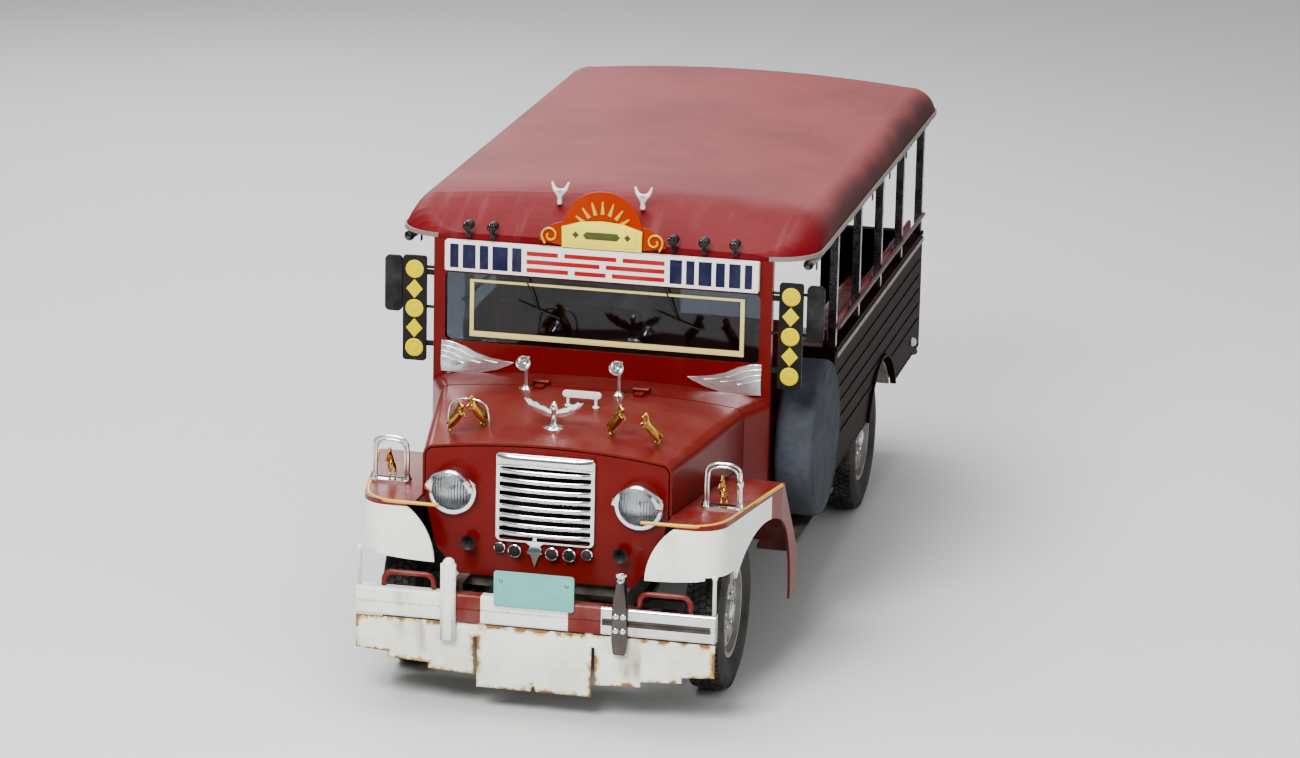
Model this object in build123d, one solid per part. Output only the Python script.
from build123d import *
import math
import os

# A jeepney: a long-bonnet, open-sided passenger vehicle on a ladder frame.
# Millimetres. X is across (positive on the driver's side), Y runs rearwards,
# Z is up from the road. While it is built, Y is the station behind the bumper
# guards' faces; the export moves the part so that its middle is at Y = 0.

# Driving dimensions of the whole vehicle
LENGTH = 5100.0
AXLE_FRONT = 660.0
WHEELBASE = 2950.0
AXLE_REAR = AXLE_FRONT + WHEELBASE
SEAT = 0.3                      # gap where one piece rests against another
CLEAR = 5.0                     # gap round a piece that moves

# Wheels
TYRE_R = 365.0
TYRE_W = 180.0
RIM_SEAT_R = 203.0
RIM_HALF = 62.0
BEAD_H = 19.0
FLANGE_T = 6.0
SIDEWALL_R = 285.0
SHOULDER_X = 74.0
HUB_R = 58.0
HUB_NOSE_R = 46.0
HUB_IN = -50.0
HUB_OUT = 60.0
DRUM_R = 150.0
DRUM_W = 46.0
HAND_HOLE_R = 17.0
HAND_HOLE_PITCH_R = 138.0
HAND_HOLES = 8
SPINDLE_R = 20.0
SPINDLE_REACH = 40.0
SPINDLE_PLAY = 0.3

# Ladder frame
RAIL_X = 345.0
RAIL_W = 50.0
RAIL_Z = TYRE_R + 105.0
RAIL_H = 100.0
RAIL_T = 8.0
RAIL_TOP = RAIL_Z + RAIL_H
RAIL_OUT = RAIL_X + RAIL_W
REAR_OVERHANG = 320.0
BODY_END = LENGTH - REAR_OVERHANG
RAIL_END = BODY_END + 70.0
CROSS_Z = RAIL_Z + 40.0
CROSS_H = 50.0
CROSS_W = 60.0
CROSS_STATIONS = (285.0, 1150.0, 1900.0, 2700.0, AXLE_REAR - 360.0, AXLE_REAR + 340.0, RAIL_END - 70.0)

# Axles and springs
KINGPIN_X = 600.0
FRONT_TRACK_HALF = KINGPIN_X + 100.0
REAR_TRACK_HALF = 760.0
KINGPIN_R = 14.0
PIN_PLAY = 0.3
BOSS_R = 28.0
BOSS_H = 80.0
EAR_H = 24.0
EAR_GAP = 1.0
BEAM_H = 50.0
BEAM_W = 60.0
KNUCKLE_WEB = 32.0
PLATE_R = 145.0
PLATE_T = 6.0
ARM_BACK = 130.0
ARM_IN = 15.0
ARM_T = 16.0
TIE_EYE_R = 20.0
TIE_R = 11.0
TIE_DROP = 0.5
AXLE_TUBE_R = 38.0
DIFF_R = 130.0
PINION_REACH = 70.0
LEAF_T = 7.0
LEAF_W = 50.0
SPRING_HALF = 430.0
SPRING_RISE = 30.0
EYE_R = 17.0
EYE_PIN_R = 8.7
LUG_T = 9.0
FRONT_SPRING_X = RAIL_X
REAR_SPRING_X = RAIL_OUT + 25.0

# Bonnet, front panel and cowl
HOOD_S0 = 225.0
HOOD_S1 = 1055.0
HOOD_FRONT_HALF = 570.0
HOOD_REAR_HALF = 720.0
HOOD_FRONT_Z = RAIL_TOP + 588.0
HOOD_REAR_Z = RAIL_TOP + 630.0
HOOD_CROWN = 36.0
HOOD_CORNER = 55.0
HOOD_T = 10.0
FENDER_TOP = RAIL_TOP + 350.0
HOOD_BOTTOM = FENDER_TOP + CLEAR
HINGE_S = HOOD_S1 + 5.0
HINGE_Z = HOOD_REAR_Z + HOOD_CROWN + 14.0
HINGE_X = (-235.0, 235.0)
HINGE_R = 10.0
HINGE_PIN_R = 5.0
HINGE_LEN = 44.0
PANEL_S0 = HOOD_S0 - 3.0
PANEL_T = 22.0
PANEL_FOOT_HALF = RAIL_OUT + 3.0
COWL_S0 = HOOD_S1 + 10.0
COWL_T = 12.0
SCREEN_S0 = COWL_S0 + 180.0
SCREEN_T = 40.0
SCREEN_S1 = SCREEN_S0 + SCREEN_T
CAB_HALF = 800.0
COWL_REAR_Z = HOOD_REAR_Z + 5.0
FIREWALL_S = COWL_S0 + 28.0

# Engine, gearbox and services
ENGINE_HALF = 160.0
ENGINE_S = (320.0, 950.0)
ENGINE_Z = (RAIL_Z - 70.0, HOOD_FRONT_Z - 118.0)
FAN_Z = 850.0
FAN_HUB_R = 60.0
GEARBOX_R = 90.0
GEARBOX_Z = TYRE_R + 50.0
GEARBOX_END = 1500.0
PROP_R = 32.0
PROP_JOINT_R = 44.0
RADIATOR_HALF = 232.0
RADIATOR_S = (PANEL_S0 + 40.0, PANEL_S0 + 90.0)
RADIATOR_TOP = HOOD_FRONT_Z - 38.0
PIPE_R = 22.0
MUFFLER_R = 62.0
MUFFLER_S = (1960.0, 2500.0)
EXHAUST_X = 230.0
EXHAUST_Z = RAIL_Z - 40.0
EXHAUST_START_S = 760.0
EXHAUST_START_Z = RAIL_TOP + 130.0
EXHAUST_TURN = 3000.0
TANK_W = 340.0
TANK_S = (2350.0, 2950.0)
TANK_Z = RAIL_Z - 100.0

# Lamps and grille
LAMP_X = 427.0
LAMP_Z = HOOD_FRONT_Z - 200.0
LAMP_HOLE_R = 100.0
LAMP_BEZEL_R = 112.0
LAMP_LENS_R = 92.0
LAMP_BUCKET = 90.0
GRILLE_HALF = 225.0
GRILLE_Z = (HOOD_FRONT_Z - 413.0, HOOD_FRONT_Z - 1.0)
GRILLE_DEPTH = 27.0
GRILLE_RIM = 16.0
SLAT_PITCH = 41.0
SLAT_COUNT = 8
SLAT_H = 22.0
SLAT_T = 9.0
SLAT_BOW = 16.0
GRILLE_CAP_H = 58.0

# Front fenders
FENDER_IN = 450.0
FENDER_FRONT_X = 812.0
FENDER_WIDE_X = 950.0
FENDER_S0 = 100.0
FENDER_WIDE_S = 850.0
FENDER_BREAK_S = 880.0
FENDER_TAIL_S = SCREEN_S0 - CLEAR
FENDER_TAIL_Z = RAIL_TOP - 65.0
FENDER_T = 12.0
FENDER_CORNER = 140.0
ARCH_R = TYRE_R + 65.0
APRON_TIP_X = 480.0
APRON_TOP_X = 610.0
APRON_TIP_Z = FENDER_TOP - 270.0
APRON_OUT_Z = FENDER_TOP - 220.0

# Bumper and valance
BAR_HALF = 820.0
BAR_Z = (RAIL_Z - 65.0, RAIL_Z + 65.0)
BAR_S = (25.0, 80.0)
BAR_T = 9.0
PLATE_BOLT_X = 150.0
PLATE_BOLT_Z = BAR_Z[1] + 85.0
PLATE_BOLT_R = 3.5
PLATE_BRACKET_T = 5.0
PLATE_BRACKET_LOW = BAR_Z[1] - 45.0
GUARD_X = 392.0
GUARD_W = 70.0
GUARD_Z = (BAR_Z[0] - 81.0, BAR_Z[1] + 140.0)
GUARD_HEAD_R = 27.0
POST_R = 9.0
POST_TOP = BAR_Z[1] + 170.0
LOOP_R = 12.0
LOOP_X = (470.0, 700.0)
LOOP_TOP = BAR_Z[1] + 65.0
SKIRT_T = 6.0
SKIRT_S = 34.0
SKIRT_TOP = BAR_Z[0] - 7.0
SKIRT_WEB = 58.0

# Ornaments on the fenders and the bonnet
HOOP_X = 765.0
HOOP_HALF = 82.0
HOOP_S = 400.0
HOOP_R = 7.0
HOOP_TOP = FENDER_TOP + 208.0
PLINTH_HALF = 32.0
PLINTH_T = 10.0
FINIAL_X = 840.0
FINIAL_R = 18.0
FINIAL_H = 176.0
FIGURE_T = 20.0
FIGURE_BASE_R = 24.0
FIGURE_BASE_T = 7.0
ARCH_FIGURE_H = 145.0
BONNET_FIGURE_H = 124.0
TRUMPET_S = 1000.0
TRUMPET_H = 140.0
TRUMPET_R = 35.0
TRUMPET_LEN = 92.0
MASCOT_X = -30.0
MASCOT_S = 470.0
MASCOT_H = 128.0
WING_RISE = 52.0
WING_T = 10.0
NAME_RAIL_X = 20.0
NAME_RAIL_S = 800.0
NAME_RAIL_HALF = 90.0
NAME_RAIL_Z = 56.0
BONNET_HOOP_X = (-505.0, -315.0)
BONNET_HOOP_S = 420.0
BONNET_HOOP_R = 4.5
BONNET_HOOP_RISE = 125.0
ROOT = 20.0                     # how far an ornament's foot starts under the sheet, before it is trimmed

# Windscreen, boards and mirrors
RIM_Z = 1850.0
GLASS_HALF = CAB_HALF - 55.0
GLASS_Z = (COWL_REAR_Z + 157.0, RIM_Z - 160.0)
GLASS_T = 6.0
GLASS_IN = 16.0
SCREEN_TOP = RIM_Z - SEAT
BOARD_T = 32.0
BOARD_Z = (GLASS_Z[1] + 16.0, RIM_Z - 1.0)
SIDE_BOARD_X = (CAB_HALF + 34.0, CAB_HALF + 146.0)
SIDE_BOARD_Z = (GLASS_Z[0] - 106.0, GLASS_Z[1] + 67.0)
MIRROR_X = (CAB_HALF + 158.0, CAB_HALF + 240.0)
MIRROR_Z = (GLASS_Z[0] + 118.0, GLASS_Z[1] + 55.0)

# Cab and body
CAB_WALL = 15.0
CAB_IN = CAB_HALF - CAB_WALL
CAB_FLOOR_T = 15.0
CAB_FLOOR_Z = RAIL_TOP + SEAT
CAB_FLOOR_TOP = CAB_FLOOR_Z + CAB_FLOOR_T
BULKHEAD_S = 2250.0
SHEET_T = 12.0
BODY_HALF = 920.0
BODY_T = 14.7
BODY_IN = BODY_HALF - BODY_T - SEAT
BEARER_H = 30.0
BEARER_W = 40.0
BEARER_COUNT = 6
FLOOR_Z = RAIL_TOP + BEARER_H
FLOOR_T = 15.0
FLOOR_TOP = FLOOR_Z + FLOOR_T
SILL_Z = FLOOR_TOP + 575.0
SKIN_BOTTOM = RAIL_TOP - 10.0
RIB_HEIGHTS = tuple(FLOOR_TOP + rise for rise in (105.0, 185.0, 265.0, 345.0, 425.0))
DOOR_HALF = 380.0
HOUSING_R = TYRE_R + 35.0
HOUSING_T = 8.0
HOUSING_IN = REAR_TRACK_HALF - TYRE_W / 2 - 30.0
BODY_ARCH_R = TYRE_R + 60.0
POST_W = 38.0
POST_X = BODY_HALF - 40.0
POST_COUNT = 5
POST_FIRST = BULKHEAD_S + SHEET_T + SEAT + POST_W / 2
POST_LAST = BODY_END - POST_W
LEFT_SIDE_TOP = FLOOR_TOP + 385.0
RIGHT_SILL_TOP = FLOOR_TOP + 45.0
SPARE_X = CAB_HALF + 97.0
SPARE_S = 1702.0
SPARE_Z = LEFT_SIDE_TOP - 95.0
COVER_T = 3.0
COVER_DEPTH = 150.0

# Seats
BENCH_FRONT_X = BODY_HALF - 390.0
BENCH_BOARD_T = 15.0
BENCH_TOP = FLOOR_TOP + 255.0
CUSHION_TOP = BENCH_TOP + 80.0
BENCH_S = (BULKHEAD_S + 40.0, BODY_END - 55.0)
BACK_Z = (CUSHION_TOP + 50.0, SILL_Z + 95.0)
BACK_T = 42.0
CAB_SEAT_S = (BULKHEAD_S - 470.0, BULKHEAD_S - 60.0)
CAB_SEAT_Z = (CAB_FLOOR_TOP + 195.0, CAB_FLOOR_TOP + 315.0)
CAB_BACK_T = 105.0
CAB_BACK_TOP = CAB_SEAT_Z[1] + 430.0

# Roof
ROOF_HALF = BODY_HALF + 65.0
ROOF_S = (SCREEN_S0 + 5.0, BODY_END + 50.0)
ROOF_CORNER = 215.0
RIM_T = 15.0
ROOF_EDGE_Z = RIM_Z + 18.0
ROOF_RISE = 190.0
ROOF_TOP = RIM_Z + ROOF_RISE
ROOF_T = 20.0
RIM_W = 115.0
ROOF_CROWN = 42.0
ROOF_SHOULDER = 140.0
BROW_RUN = 360.0
BROW_DROP = ROOF_RISE - 34.0
TAIL_RUN = 270.0
TAIL_DROP = 100.0
BOW_W = 36.0
BOW_T = 24.0
BOW_COUNT = 5
HANDRAIL_X = 470.0
HANDRAIL_R = 13.0
HANDRAIL_DROP = 22.0
HANDRAIL_STAY_R = 8.0
GRAB_R = 11.0
CURTAIN_R = 27.0
WINDOW_RAIL_R = 10.0
WINDOW_RAIL_Z = SILL_Z + 100.0
BELT_Z = (SILL_Z - 52.0, SILL_Z - 28.0)
DRIP_W = 9.0
DRIP_H = 20.0
CREST_Z = RIM_Z + 1.0
CREST_TOP = RIM_Z + 272.0
CREST_T = 14.0
PLAQUE_RELIEF = 6.0
LAMP_STALK_Z = RIM_Z + 72.0

# Steps at the rear and under the cab
STEP_HALF = 500.0
STEP_S = (BODY_END + 26.0, BODY_END + 240.0)
STEP_Z = (RAIL_Z - 108.0, RAIL_Z - 86.0)
TOW_S = LENGTH - 45.0
TOW_HOLE_R = 20.0
SIDE_STEP_Z = (RAIL_Z + 10.0, RAIL_Z + 30.0)
HANGER_T = 12.0
CORNER_BAR_R = 20.0
TAIL_LAMP_X = BODY_HALF - 160.0
TAIL_LAMP_R = 36.0

# Steering
COLUMN_X = 360.0
WHEEL_S = 1620.0
WHEEL_Z = CAB_FLOOR_TOP + 544.7
COLUMN_TILT = 38.0
STEER_WHEEL_R = 200.0
STEER_RIM_R = 13.0
COLUMN_R = 24.0
STEER_STUB = 70.0

# Dashboard and small controls
DASH_T = 40.0
DASH_Z = COWL_REAR_Z - 165.0
LEVER_X = 105.0
LEVER_S = 1500.0
LEVER_H = 330.0
LEVER_LEAN = 100.0
LEVER_R = 8.0
KNOB_R = 20.0
BOOT_R = 40.0
BOOT_H = 55.0
PEDAL_X = (240.0, 302.0, 436.0)
PEDAL_Z = (CAB_FLOOR_TOP + 130.0, CAB_FLOOR_TOP + 290.0)
PEDAL_REACH = 130.0
PEDAL_ARM_R = 7.0
PEDAL_HALF = 24.0


def spread(first, last, count):
    """Evenly spaced stations from first to last."""
    return [first + (last - first) * number / (count - 1) for number in range(count)]


POST_STATIONS = spread(POST_FIRST, POST_LAST, POST_COUNT)
BOW_STATIONS = spread(ROOF_S[0] + 650.0, ROOF_S[1] - 530.0, BOW_COUNT)


def block(x, s, z):
    """A box given by its low and high value along each axis."""
    size = [high - low for low, high in (x, s, z)]
    middle = [(high + low) / 2 for low, high in (x, s, z)]
    return Pos(*middle) * Box(*size)


def side_prism(face, x0, x1):
    """Extrudes a face drawn in (station, height) from X = x0 to X = x1."""
    return extrude(Plane.YZ.offset(x0) * face, amount=x1 - x0)


def front_prism(face, s0, s1):
    """Extrudes a face drawn in (X, height) from station s0 back to s1."""
    plane = Plane(origin=(0, s0, 0), x_dir=(1, 0, 0), z_dir=(0, -1, 0))
    return extrude(plane * face, amount=-(s1 - s0))


def plan_prism(face, z0, z1):
    """Extrudes a face drawn in (X, station) from height z0 up to z1."""
    return extrude(Plane.XY.offset(z0) * face, amount=z1 - z0)


def outline(*points):
    return make_face(Polyline(*points, close=True))


def rod(start, end, radius):
    """A round bar between two points."""
    along = Vector(*end) - Vector(*start)
    return Solid.make_cylinder(radius, along.length, Plane(origin=start, z_dir=along))


def turned(foot, along, profile):
    """Revolves a profile of (radius, distance) round the line that leaves foot in a direction."""
    face = Plane.XZ * outline((0, profile[0][1]), *profile, (0, profile[-1][1]))
    return Plane(origin=foot, z_dir=along) * revolve(face, Axis.Z, 360)


def fused(shapes):
    joined = shapes[0]
    for shape in shapes[1:]:
        joined = joined + shape
    return joined


def both_sides(shape):
    return [shape, mirror(shape, about=Plane.YZ)]


# Wheels

def tyre():
    half = TYRE_W / 2
    bead_top = RIM_SEAT_R + BEAD_H
    right = [
        (RIM_HALF, RIM_SEAT_R), (RIM_HALF, bead_top), (half - 6, SIDEWALL_R - 32), (half, SIDEWALL_R),
        (half - 4, SIDEWALL_R + 30), (SHOULDER_X, TYRE_R - 15), (SHOULDER_X - 12, TYRE_R - 4), (30, TYRE_R),
    ]
    left = [(-x, r) for x, r in reversed(right)]
    return revolve(outline(*right, *left), Axis.X, 360)


def rim():
    """Rim, dished disc, hub and brake drum; +X is outboard."""
    seat = RIM_SEAT_R - SEAT
    inner = seat - 7
    edge = RIM_HALF + SEAT
    lip = edge + FLANGE_T
    flange = RIM_SEAT_R + BEAD_H - 5
    well = outline(
        (-lip, inner), (-lip, flange), (-edge, flange), (-edge, seat),
        (edge, seat), (edge, flange), (lip, flange), (lip, inner),
    )
    dish = outline(
        (20, inner + 2), (30, inner + 2), (52, 164), (52, 112),
        (44, HUB_NOSE_R - 2), (34, HUB_NOSE_R - 2), (43, 114), (43, 160),
    )
    hub = outline(
        (HUB_IN, SPINDLE_R + SPINDLE_PLAY), (HUB_IN, HUB_R), (HUB_OUT, HUB_NOSE_R), (HUB_OUT, 0),
        (SPINDLE_REACH + 8, 0), (SPINDLE_REACH + 8, SPINDLE_R + SPINDLE_PLAY),
    )
    drum = outline(
        (HUB_IN + 2, DRUM_R - 8), (HUB_IN + 2, DRUM_R), (HUB_IN + 2 + DRUM_W, DRUM_R),
        (HUB_IN + 2 + DRUM_W, HUB_NOSE_R), (HUB_IN - 4 + DRUM_W, HUB_NOSE_R), (HUB_IN - 4 + DRUM_W, DRUM_R - 8),
    )
    made = fused([revolve(face, Axis.X, 360) for face in (well, dish, hub, drum)])
    for turn in range(HAND_HOLES):
        angle = turn * 360 / HAND_HOLES
        hole = rod((15, 0, HAND_HOLE_PITCH_R), (70, 0, HAND_HOLE_PITCH_R), HAND_HOLE_R)
        made -= Rot(angle, 0, 0) * hole
    return made


def placed_wheel(shape, x, station):
    """Puts a wheel piece at a hub; the outboard side faces away from the middle."""
    turned = shape if x > 0 else mirror(shape, about=Plane.YZ)
    return Pos(x, station, TYRE_R) * turned


# Ladder frame, axles and driveline

def leaf_stack(x, station, bottom, leaves):
    """Leaves on one centre of curvature, the longest on top, with rolled eyes."""
    radius = (SPRING_HALF**2 + SPRING_RISE**2) / (2 * SPRING_RISE)
    centre_z = bottom + leaves * LEAF_T + radius - LEAF_T
    made = []
    for number in range(leaves):
        half = SPRING_HALF * (1 - number / (leaves + 1))
        inner_r = radius - LEAF_T + number * LEAF_T
        ring = Circle(inner_r + LEAF_T) - Circle(inner_r)
        window = Pos(0, -radius) * Rectangle(2 * half, 8 * SPRING_RISE)
        leaf = Pos(station, centre_z) * (ring & window)
        made.append(side_prism(leaf, x, x + LEAF_W))
    spring = fused(made)
    for end in (-1, 1):
        s, z = spring_eye(station, bottom, leaves, end)
        spring += rod((x, s, z), (x + LEAF_W, s, z), EYE_R)
    for end in (-1, 1):
        s, z = spring_eye(station, bottom, leaves, end)
        spring -= rod((x - 5, s, z), (x + LEAF_W + 5, s, z), EYE_PIN_R + PIN_PLAY)
    return spring


def spring_eye(station, bottom, leaves, end):
    return station + end * SPRING_HALF, bottom + leaves * LEAF_T + SPRING_RISE - EYE_R + LEAF_T


FRONT_SPRING = (FRONT_SPRING_X, AXLE_FRONT, TYRE_R + BEAM_H / 2, 4)
REAR_SPRING = (REAR_SPRING_X, AXLE_REAR, TYRE_R + AXLE_TUBE_R, 5)


def chassis_frame():
    start = BAR_S[1] + SEAT
    rail = block((RAIL_X, RAIL_OUT), (start, RAIL_END), (RAIL_Z, RAIL_TOP))
    rail -= block(
        (RAIL_X - 5, RAIL_OUT - RAIL_T), (start + RAIL_T, RAIL_END - RAIL_T),
        (RAIL_Z + RAIL_T, RAIL_TOP - RAIL_T),
    )
    lugs = []
    for x, station, bottom, leaves in (FRONT_SPRING, REAR_SPRING):
        for end in (-1, 1):
            s, z = spring_eye(station, bottom, leaves, end)
            low = z - EYE_R - 3
            if x == FRONT_SPRING_X:
                near, far = x - LUG_T - SEAT, x + LEAF_W + SEAT
                plates = [block((a, a + LUG_T), (s - 20, s + 20), (low, RAIL_Z + 2)) for a in (near, far)]
                saddle = block((near, far + LUG_T), (s - 20, s + 20), (RAIL_Z - LUG_T, RAIL_Z + 2))
                pin = rod((x - LUG_T, s, z), (x + LEAF_W + LUG_T, s, z), EYE_PIN_R)
                lug = fused([*plates, saddle, pin])
            else:
                lug = block((RAIL_OUT - 1, x - SEAT), (s - 20, s + 20), (low, RAIL_TOP - 20))
                lug += rod((x - 2, s, z), (x + LEAF_W + 6, s, z), EYE_PIN_R)
            lugs.append(lug)
    reach = RAIL_OUT - RAIL_T - SEAT
    members = [
        block((-reach, reach), (s - CROSS_W / 2, s + CROSS_W / 2), (CROSS_Z, CROSS_Z + CROSS_H))
        for s in CROSS_STATIONS
    ]
    return [*both_sides(fused([rail, *lugs])), *members]


def front_axle():
    """Forged beam with a kingpin boss at each end and its two springs."""
    half_h = BEAM_H / 2
    beam = block(
        (-KINGPIN_X, KINGPIN_X), (AXLE_FRONT - BEAM_W / 2, AXLE_FRONT + BEAM_W / 2),
        (TYRE_R - half_h, TYRE_R + half_h),
    )
    bosses = [
        rod((x, AXLE_FRONT, TYRE_R - BOSS_H / 2), (x, AXLE_FRONT, TYRE_R + BOSS_H / 2), BOSS_R)
        for x in (-KINGPIN_X, KINGPIN_X)
    ]
    flute_s = (AXLE_FRONT - BEAM_W / 2, AXLE_FRONT - 12)
    flute = block((-RAIL_X + 20, RAIL_X - 20), flute_s, (TYRE_R - 15, TYRE_R + 15))
    made = fused([beam, *bosses]) - flute
    over = KINGPIN_X + BOSS_R
    trim = block((over - 2 * BOSS_R, over + 40), (AXLE_FRONT - 60, AXLE_FRONT + 60), (0, 2 * TYRE_R))
    trim -= rod((KINGPIN_X, AXLE_FRONT, 0), (KINGPIN_X, AXLE_FRONT, 2 * TYRE_R), BOSS_R)
    for piece in both_sides(trim):
        made -= piece
    for x in (-KINGPIN_X, KINGPIN_X):
        made -= rod((x, AXLE_FRONT, 0), (x, AXLE_FRONT, 2 * TYRE_R), KINGPIN_R + PIN_PLAY)
    return fused([made, *both_sides(leaf_stack(*FRONT_SPRING))])


def rear_axle():
    """Axle tube, differential, brake plates, spindles and its two springs."""
    plate_x = REAR_TRACK_HALF + HUB_IN - CLEAR
    tube = rod((-plate_x, AXLE_REAR, TYRE_R), (plate_x, AXLE_REAR, TYRE_R), AXLE_TUBE_R)
    diff = Pos(0, AXLE_REAR, TYRE_R) * Sphere(DIFF_R)
    nose = rod((0, AXLE_REAR - DIFF_R - PINION_REACH, TYRE_R), (0, AXLE_REAR, TYRE_R), 58)
    made = fused([tube, diff, nose])
    for side in (-1, 1):
        plate = rod((side * (plate_x - PLATE_T), AXLE_REAR, TYRE_R), (side * plate_x, AXLE_REAR, TYRE_R), PLATE_R)
        tip = side * (REAR_TRACK_HALF + SPINDLE_REACH)
        made = fused([made, plate, rod((side * plate_x, AXLE_REAR, TYRE_R), (tip, AXLE_REAR, TYRE_R), SPINDLE_R)])
    pad = block(
        (REAR_SPRING_X - 4, REAR_SPRING_X + LEAF_W + 4), (AXLE_REAR - 55, AXLE_REAR + 55),
        (TYRE_R + 20, TYRE_R + AXLE_TUBE_R + 4),
    )
    for piece in both_sides(pad + leaf_stack(*REAR_SPRING)):
        made += piece
    return made


def knuckle():
    """Steering knuckle on the driver's side: yoke, kingpin, brake plate, spindle and arm."""
    low, high = TYRE_R - BOSS_H / 2 - EAR_GAP, TYRE_R + BOSS_H / 2 + EAR_GAP
    web_x = KINGPIN_X + KNUCKLE_WEB
    plate_x = FRONT_TRACK_HALF + HUB_IN - CLEAR
    pieces = [block((web_x, plate_x), (AXLE_FRONT - 34, AXLE_FRONT + 34), (low - EAR_H, high + EAR_H))]
    for z0, z1 in ((low - EAR_H, low), (high, high + EAR_H)):
        pieces.append(rod((KINGPIN_X, AXLE_FRONT, z0), (KINGPIN_X, AXLE_FRONT, z1), 30))
        pieces.append(block((KINGPIN_X, web_x + 1), (AXLE_FRONT - 30, AXLE_FRONT + 30), (z0, z1)))
    pieces.append(rod((KINGPIN_X, AXLE_FRONT, low - EAR_H), (KINGPIN_X, AXLE_FRONT, high + EAR_H), KINGPIN_R))
    pieces.append(rod((plate_x - PLATE_T, AXLE_FRONT, TYRE_R), (plate_x, AXLE_FRONT, TYRE_R), PLATE_R))
    tip = FRONT_TRACK_HALF + SPINDLE_REACH
    pieces.append(rod((plate_x - 2, AXLE_FRONT, TYRE_R), (tip, AXLE_FRONT, TYRE_R), SPINDLE_R))
    arm_top = low - EAR_H
    arm_x, arm_s = KINGPIN_X - ARM_IN, AXLE_FRONT + ARM_BACK
    arm = outline(
        (KINGPIN_X - 24, AXLE_FRONT - 10), (KINGPIN_X + 24, AXLE_FRONT - 10),
        (arm_x + 16, arm_s), (arm_x - 16, arm_s),
    )
    pieces.append(plan_prism(arm, arm_top - ARM_T, arm_top))
    pieces.append(rod((arm_x, arm_s, arm_top - ARM_T), (arm_x, arm_s, arm_top), TIE_EYE_R))
    return fused(pieces)


def tie_rod():
    top = TYRE_R - BOSS_H / 2 - EAR_GAP - EAR_H - ARM_T - TIE_DROP
    bottom = top - 2 * TIE_R + 2
    eye_x, eye_s = KINGPIN_X - ARM_IN, AXLE_FRONT + ARM_BACK
    middle = (top + bottom) / 2
    pieces = [rod((x, eye_s, bottom), (x, eye_s, top), TIE_EYE_R) for x in (-eye_x, eye_x)]
    return fused([rod((-eye_x, eye_s, middle), (eye_x, eye_s, middle), TIE_R - 2), *pieces])


def engine():
    """The engine as one plain block, its bell housing, gearbox and mounts."""
    body = block((-ENGINE_HALF, ENGINE_HALF), ENGINE_S, ENGINE_Z)
    body = chamfer(body.edges().filter_by(Axis.Y), 25)
    bell = rod((0, ENGINE_S[1] - 5, GEARBOX_Z + 25), (0, ENGINE_S[1] + 130, GEARBOX_Z + 5), GEARBOX_R)
    box = rod((0, ENGINE_S[1] + 100, GEARBOX_Z), (0, GEARBOX_END, GEARBOX_Z), GEARBOX_R - 12)
    fan = rod((0, RADIATOR_S[1] + 3, FAN_Z), (0, ENGINE_S[0] + 5, FAN_Z), FAN_HUB_R)
    foot_s = sum(ENGINE_S) / 2
    mount_x = (ENGINE_HALF - 5, RAIL_OUT - RAIL_T - SEAT)
    mount = block(mount_x, (foot_s - 30, foot_s + 30), (CROSS_Z, CROSS_Z + CROSS_H - 8))
    return fused([body, bell, box, fan, *both_sides(mount)])


def propeller_shaft():
    start = (0, GEARBOX_END + SEAT, GEARBOX_Z)
    end = (0, AXLE_REAR - DIFF_R - PINION_REACH - SEAT, TYRE_R)
    tube = rod((0, start[1] + 30, start[2]), (0, end[1] - 30, end[2]), PROP_R)
    joints = [
        rod(start, (0, start[1] + 46, GEARBOX_Z), PROP_JOINT_R),
        rod((0, end[1] - 46, TYRE_R), end, PROP_JOINT_R),
    ]
    return fused([tube, *joints])


def exhaust():
    start_s, start_z = EXHAUST_START_S, EXHAUST_START_Z
    path = FilletPolyline(
        (-ENGINE_HALF - SEAT, start_s, start_z), (-EXHAUST_X, start_s, start_z),
        (-EXHAUST_X, start_s, EXHAUST_Z), (-EXHAUST_X, EXHAUST_TURN, EXHAUST_Z),
        (-BODY_HALF, EXHAUST_TURN, EXHAUST_Z), radius=50,
    )
    section = Plane(origin=path @ 0, z_dir=path % 0) * Circle(PIPE_R)
    pipe = sweep(section, path=path)
    muffler_z = EXHAUST_Z - 30
    muffler = rod((-EXHAUST_X, MUFFLER_S[0], muffler_z), (-EXHAUST_X, MUFFLER_S[1], muffler_z), MUFFLER_R)
    return pipe + fillet(muffler.edges(), 14)


def fuel_tank():
    x0 = RAIL_OUT + SEAT
    tank = block((x0, x0 + TANK_W), TANK_S, (TANK_Z, RAIL_TOP - SEAT))
    return fillet(tank.edges().filter_by(Axis.Y), 26)


def radiator():
    core = block((-RADIATOR_HALF, RADIATOR_HALF), RADIATOR_S, (CROSS_Z + CROSS_H + SEAT, RADIATOR_TOP))
    return fillet(core.edges().filter_by(Axis.Y), 12)


# Bonnet, front panel, cowl and fenders

def hood_section(half, edge_z, crown, bottom, inset=0.0):
    """Front view of the bonnet: crowned top, rounded corners, upright sides."""
    w, z, r = half - inset, edge_z - inset, max(HOOD_CORNER - inset, 8)
    lean = r * (1 - math.sqrt(0.5))
    return make_face([
        Line((-w, bottom), (-w, z - r)),
        ThreePointArc((-w, z - r), (-w + lean, z - lean), (-w + r, z)),
        ThreePointArc((-w + r, z), (0, z + crown), (w - r, z)),
        ThreePointArc((w - r, z), (w - lean, z - lean), (w, z - r)),
        Line((w, z - r), (w, bottom)),
        Line((w, bottom), (-w, bottom)),
    ])


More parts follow.
